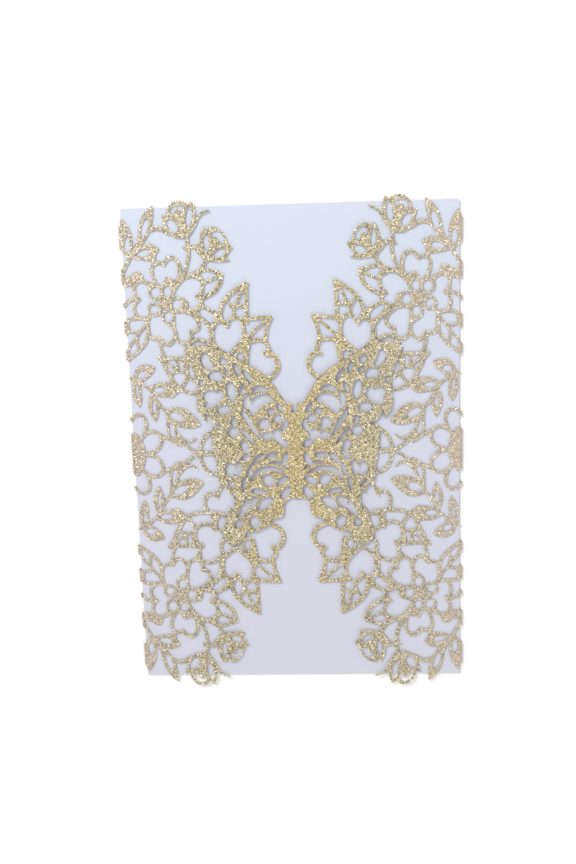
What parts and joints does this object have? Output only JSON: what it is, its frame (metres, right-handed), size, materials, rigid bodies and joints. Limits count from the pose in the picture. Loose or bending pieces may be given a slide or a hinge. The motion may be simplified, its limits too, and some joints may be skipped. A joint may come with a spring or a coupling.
{
  "type": "laser-cut invitation card",
  "caption": "Invitation with a laser-cut glitter wrap, its two lace gates closed over a plain card by interlocked butterflies.",
  "frame": {"origin": "centre of the wrap's outline on the underside of its back panel", "axes": "+Z out of the front, +Y up the front towards the top of the butterfly, +X to the right"},
  "size_m": [0.12, 0.1814, 0.0033],
  "materials": {
    "glitter_card": "fine gold glitter on stiff card",
    "pale_card": "smooth pale card with a soft sheen"
  },
  "bodies": {
    "root": {"gatefold_wrap": "glitter_card", "insert_card": "pale_card"}
  },
  "joints": []
}
